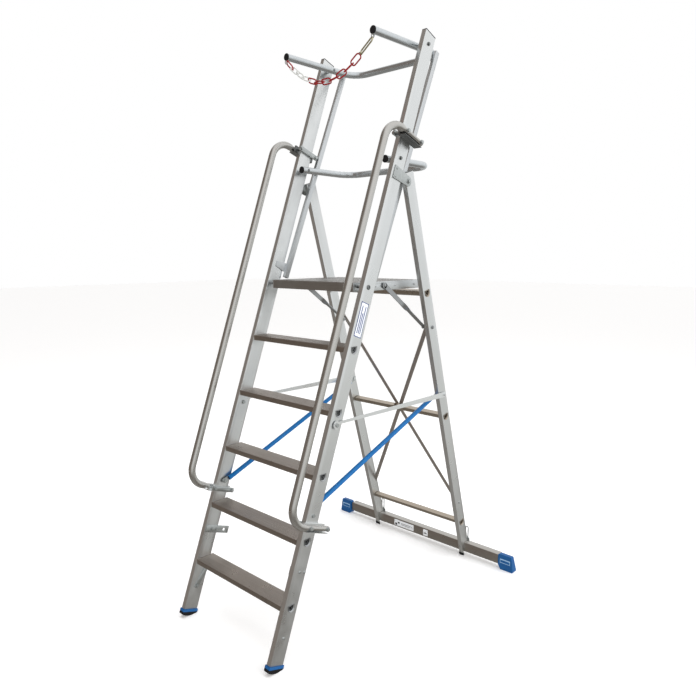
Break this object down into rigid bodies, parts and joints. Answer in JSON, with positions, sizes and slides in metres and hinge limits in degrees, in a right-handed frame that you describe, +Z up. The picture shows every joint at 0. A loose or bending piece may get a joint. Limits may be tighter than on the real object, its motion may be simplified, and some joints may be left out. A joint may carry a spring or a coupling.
{
  "type": "platform step ladder",
  "caption": "Folding aluminium step ladder with wide treads, a standing platform, guard rails, bent handrails, blue stays and a stabiliser beam.",
  "frame": {"origin": "middle of the ladder's bounding box in plan, on the floor", "axes": "+Z up; the climber stands on the -Y side and looks along +Y; +X is the climber's right"},
  "size_m": [1.154, 1.366, 2.4052],
  "materials": {
    "aluminium": "mill-finish extruded aluminium, fine lengthwise die lines",
    "galvanised_steel": "zinc-plated steel, satin",
    "blue_paint": "blue powder coat, semi-gloss",
    "blue_plastic": "moulded blue polyamide, satin",
    "black_plastic": "moulded black plastic",
    "rubber": "black rubber, matt",
    "red_plastic": "moulded red and white plastic chain"
  },
  "bodies": {
    "ladder_frame": {"stile_right": "aluminium", "stile_left": "aluminium", "stile_plug_right": "black_plastic", "stile_plug_left": "black_plastic", "foot_right": "rubber", "foot_left": "rubber", "tread_1": "aluminium", "tread_2": "aluminium", "tread_3": "aluminium", "tread_4": "aluminium", "tread_5": "aluminium", "tread_brace_right": "aluminium", "tread_brace_left": "aluminium", "platform_pivot_right": "galvanised_steel", "platform_pivot_left": "galvanised_steel", "link_stud_right": "galvanised_steel", "link_stud_left": "galvanised_steel", "lock_tab_left": "galvanised_steel", "lock_plate_right": "galvanised_steel", "handrail_right": "aluminium", "handrail_left": "aluminium", "handrail_clamp_lower_right": "galvanised_steel", "handrail_clamp_lower_left": "galvanised_steel", "handrail_clamp_upper_right": "galvanised_steel", "handrail_clamp_upper_left": "galvanised_steel", "knee_rail": "aluminium", "top_rail": "aluminium", "knee_rail_plug_right": "black_plastic", "knee_rail_plug_left": "black_plastic", "top_rail_plug_right": "black_plastic", "top_rail_plug_left": "black_plastic", "guard_post_right": "aluminium", "guard_post_left": "aluminium", "hinge_bracket_right": "galvanised_steel", "hinge_bracket_left": "galvanised_steel"},
    "rear_frame": {"rear_leg_right": "aluminium", "rear_leg_left": "aluminium", "rear_crossbar_lower": "aluminium", "rear_crossbar_middle": "aluminium", "rear_crossbar_upper": "aluminium", "cross_brace_1": "aluminium", "cross_brace_2": "aluminium", "base_beam": "aluminium", "beam_cap_right": "blue_plastic", "beam_cap_left": "blue_plastic", "beam_clip_right": "galvanised_steel", "beam_clip_left": "galvanised_steel"},
    "platform": {"platform_deck": "aluminium", "platform_side_right": "aluminium", "platform_side_left": "aluminium"},
    "strut_right": {"platform_strut_right": "aluminium"},
    "link_right": {"spreader_link_right": "aluminium"},
    "stay_right": {"rear_stay_right": "blue_paint"},
    "wing_right": {"wing_bolt_right": "galvanised_steel"},
    "strut_left": {"platform_strut_left": "aluminium"},
    "link_left": {"spreader_link_left": "aluminium"},
    "stay_left": {"rear_stay_left": "blue_paint"},
    "wing_left": {"wing_bolt_left": "galvanised_steel"},
    "chain": {"safety_chain": "red_plastic", "snap_hook": "galvanised_steel"}
  },
  "joints": [
    {"name": "rear_fold", "type": "hinge", "parent": "ladder_frame", "child": "rear_frame", "pos_m": [0, 0.10631, 1.818], "axis": [-1, 0, 0], "range_deg": [0, 30]},
    {"name": "platform_fold", "type": "hinge", "parent": "ladder_frame", "child": "platform", "pos_m": [0, -0.12869, 1.407], "axis": [1, 0, 0], "range_deg": [0, 52]},
    {"name": "strut_turn_right", "type": "hinge", "parent": "rear_frame", "child": "strut_right", "pos_m": [0.26, 0.30298, 1.21511], "axis": [-1, 0, 0], "range_deg": [0, 25]},
    {"name": "link_lift_right", "type": "hinge", "parent": "rear_frame", "child": "link_right", "pos_m": [0.29, 0.40277, 0.89526], "axis": [-1, 0, 0], "range_deg": [0, 61]},
    {"name": "stay_lift_right", "type": "hinge", "parent": "ladder_frame", "child": "stay_right", "pos_m": [0.27, -0.44057, 0.562], "axis": [1, 0, 0], "range_deg": [0, 27]},
    {"name": "wing_bolt_turn_right", "type": "hinge", "parent": "rear_frame", "child": "wing_right", "pos_m": [0.284, 0.67931, 0.0475], "axis": [0, 1, 0], "continuous": true},
    {"name": "strut_turn_left", "type": "hinge", "parent": "rear_frame", "child": "strut_left", "pos_m": [-0.26, 0.30298, 1.21511], "axis": [-1, 0, 0], "range_deg": [0, 25]},
    {"name": "link_lift_left", "type": "hinge", "parent": "rear_frame", "child": "link_left", "pos_m": [-0.29, 0.40277, 0.89526], "axis": [-1, 0, 0], "range_deg": [0, 61]},
    {"name": "stay_lift_left", "type": "hinge", "parent": "ladder_frame", "child": "stay_left", "pos_m": [-0.27, -0.44057, 0.562], "axis": [1, 0, 0], "range_deg": [0, 27]},
    {"name": "wing_bolt_turn_left", "type": "hinge", "parent": "rear_frame", "child": "wing_left", "pos_m": [-0.284, 0.67931, 0.0475], "axis": [0, 1, 0], "continuous": true},
    {"name": "chain_swing", "type": "hinge", "parent": "ladder_frame", "child": "chain", "pos_m": [0, -0.04919, 2.325], "axis": [1, 0, 0], "range_deg": [-50, 50]}
  ],
  "couplings": [
    {"joint": "platform_fold", "follows": "rear_fold", "ratio": 1.717},
    {"joint": "strut_turn_right", "follows": "rear_fold", "ratio": 0.81},
    {"joint": "link_lift_right", "follows": "rear_fold", "ratio": 2},
    {"joint": "stay_lift_right", "follows": "rear_fold", "ratio": 0.867},
    {"joint": "strut_turn_left", "follows": "rear_fold", "ratio": 0.81},
    {"joint": "link_lift_left", "follows": "rear_fold", "ratio": 2},
    {"joint": "stay_lift_left", "follows": "rear_fold", "ratio": 0.867}
  ]
}
